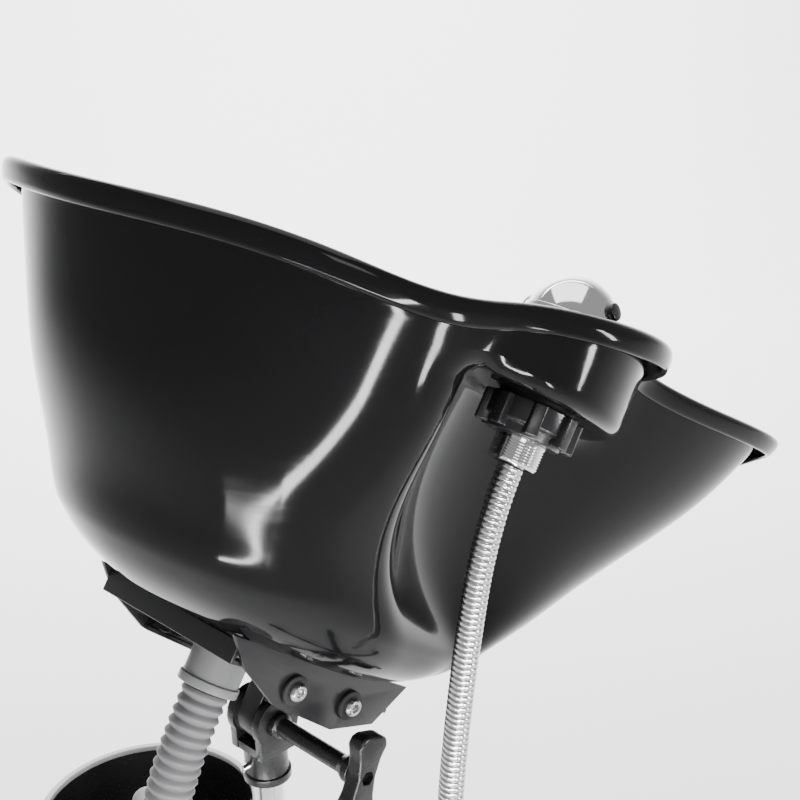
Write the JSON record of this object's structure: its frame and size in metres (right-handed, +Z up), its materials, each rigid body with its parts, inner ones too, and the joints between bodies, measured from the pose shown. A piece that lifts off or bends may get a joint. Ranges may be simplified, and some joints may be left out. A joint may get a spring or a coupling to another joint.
{
  "type": "shampoo backwash unit",
  "caption": "Mobile shampoo basin on a height-adjustable tilting column with castors, side sprayer, spiral hose and a waste bucket.",
  "frame": {"origin": "on the floor, on the axis of the column", "axes": "+Z up, +X towards the neck rest, +Y towards the plugged far ledge"},
  "size_m": [0.7219, 0.9345, 1.1773],
  "materials": {
    "gloss_black": "polished moulded plastic",
    "chrome": "polished",
    "black_plastic": "fine satin",
    "rubber": "soft matte",
    "grey_plastic": "satin",
    "hose_chrome": "spiral wound, polished",
    "hose_grey": "soft ribbed",
    "black_paint": "semi gloss powder coat",
    "steel": "bright",
    "wheel_grey": "smooth tread"
  },
  "bodies": {
    "base": {"star_base": "black_paint", "outer_tube": "black_paint", "column_collar": "black_plastic"},
    "height_knob": {"height_knob": "black_plastic"},
    "column": {"inner_tube": "chrome", "tube_glide": "grey_plastic", "tilt_socket": "black_plastic", "socket_screw": "chrome", "friction_washers": "grey_plastic", "clamp_nut": "steel"},
    "tilt_handle": {"tilt_handle": "black_plastic"},
    "bowl": {"basin": "gloss_black", "hose_guide": "chrome", "wing_nut": "black_plastic", "guide_gasket": "rubber", "blank_plug": "black_plastic", "plug_nut": "black_plastic", "drain_flange": "chrome", "drain_seal": "rubber", "drain_nut": "black_plastic", "drain_cuff": "hose_grey", "side_plate_near": "black_paint", "side_plate_far": "black_paint", "rear_cross_bar": "black_paint", "front_cross_bar": "black_paint", "pivot_bridge": "black_paint", "bracket_grommets": "rubber", "bracket_screws": "chrome", "shower_hose": "hose_chrome", "drain_hose_upper": "hose_grey"},
    "sprayer": {"sprayer_body": "chrome", "sprayer_cap": "chrome", "sprayer_seam_ring": "chrome", "spray_face": "grey_plastic", "shower_hose_top": "hose_chrome"},
    "flow_button": {"flow_button": "grey_plastic"},
    "strainer": {"hair_strainer": "chrome"},
    "bucket": {"waste_bucket": "gloss_black", "bucket_rim": "grey_plastic", "drain_hose_lower": "hose_grey"},
    "bucket_handle": {"bucket_handle": "steel"},
    "castor_1": {"castor_fork_1": "black_plastic"},
    "wheels_1": {"castor_wheels_1": "wheel_grey"},
    "castor_2": {"castor_fork_2": "black_plastic"},
    "wheels_2": {"castor_wheels_2": "wheel_grey"},
    "castor_3": {"castor_fork_3": "black_plastic"},
    "wheels_3": {"castor_wheels_3": "wheel_grey"},
    "castor_4": {"castor_fork_4": "black_plastic"},
    "wheels_4": {"castor_wheels_4": "wheel_grey"},
    "castor_5": {"castor_fork_5": "black_plastic"},
    "wheels_5": {"castor_wheels_5": "wheel_grey"}
  },
  "joints": [
    {"name": "height", "type": "slide", "parent": "base", "child": "column", "axis": [0, 0, 1], "range_m": [-0.08, 0.12], "deforming": ["drain_hose_lower"]},
    {"name": "height_knob_turn", "type": "hinge", "parent": "base", "child": "height_knob", "pos_m": [0, -0.03, 0.573], "axis": [0, -1, 0], "range_deg": [-180, 180]},
    {"name": "basin_tilt", "type": "hinge", "parent": "column", "child": "bowl", "pos_m": [0, 0, 0.8], "axis": [0, 1, 0], "range_deg": [-36.5, 10], "deforming": ["drain_hose_upper"]},
    {"name": "tilt_handle_turn", "type": "hinge", "parent": "column", "child": "tilt_handle", "pos_m": [0, -0.05, 0.8], "axis": [0, -1, 0], "range_deg": [-120, 120]},
    {"name": "sprayer_lift", "type": "slide", "parent": "bowl", "child": "sprayer", "axis": [0.5948, 0, 0.8039], "range_m": [0, 0.038]},
    {"name": "flow_button_press", "type": "slide", "parent": "sprayer", "child": "flow_button", "axis": [-0.2514, 0.9063, -0.3397], "range_m": [0, 0.003], "stiffness_N_per_m": 400},
    {"name": "strainer_lift", "type": "slide", "parent": "bowl", "child": "strainer", "axis": [0.5948, 0, 0.8039], "range_m": [0, 0.04]},
    {"name": "bucket_lift", "type": "slide", "parent": "base", "child": "bucket", "axis": [0, 0, 1], "range_m": [0, 0.06]},
    {"name": "bucket_handle_swing", "type": "hinge", "parent": "bucket", "child": "bucket_handle", "pos_m": [0.239, 0.556, 0.282], "axis": [-0.8829, 0.4695, 0], "range_deg": [-100, 0]},
    {"name": "castor_1_swivel", "type": "hinge", "parent": "base", "child": "castor_1", "pos_m": [0.27581, 0.08961, 0.07], "axis": [0, 0, 1], "continuous": true},
    {"name": "wheels_1_spin", "type": "hinge", "parent": "castor_1", "child": "wheels_1", "pos_m": [0.25869, 0.08405, 0.025], "axis": [-0.309, 0.9511, 0], "continuous": true},
    {"name": "castor_2_swivel", "type": "hinge", "parent": "base", "child": "castor_2", "pos_m": [0, 0.29, 0.07], "axis": [0, 0, 1], "continuous": true},
    {"name": "wheels_2_spin", "type": "hinge", "parent": "castor_2", "child": "wheels_2", "pos_m": [0, 0.272, 0.025], "axis": [-1, 0, 0], "continuous": true},
    {"name": "castor_3_swivel", "type": "hinge", "parent": "base", "child": "castor_3", "pos_m": [-0.27581, 0.08961, 0.07], "axis": [0, 0, 1], "continuous": true},
    {"name": "wheels_3_spin", "type": "hinge", "parent": "castor_3", "child": "wheels_3", "pos_m": [-0.25869, 0.08405, 0.025], "axis": [-0.309, -0.9511, 0], "continuous": true},
    {"name": "castor_4_swivel", "type": "hinge", "parent": "base", "child": "castor_4", "pos_m": [-0.17046, -0.23461, 0.07], "axis": [0, 0, 1], "continuous": true},
    {"name": "wheels_4_spin", "type": "hinge", "parent": "castor_4", "child": "wheels_4", "pos_m": [-0.15988, -0.22005, 0.025], "axis": [0.809, -0.5878, 0], "continuous": true},
    {"name": "castor_5_swivel", "type": "hinge", "parent": "base", "child": "castor_5", "pos_m": [0.17046, -0.23461, 0.07], "axis": [0, 0, 1], "continuous": true},
    {"name": "wheels_5_spin", "type": "hinge", "parent": "castor_5", "child": "wheels_5", "pos_m": [0.15988, -0.22005, 0.025], "axis": [0.809, 0.5878, 0], "continuous": true}
  ]
}
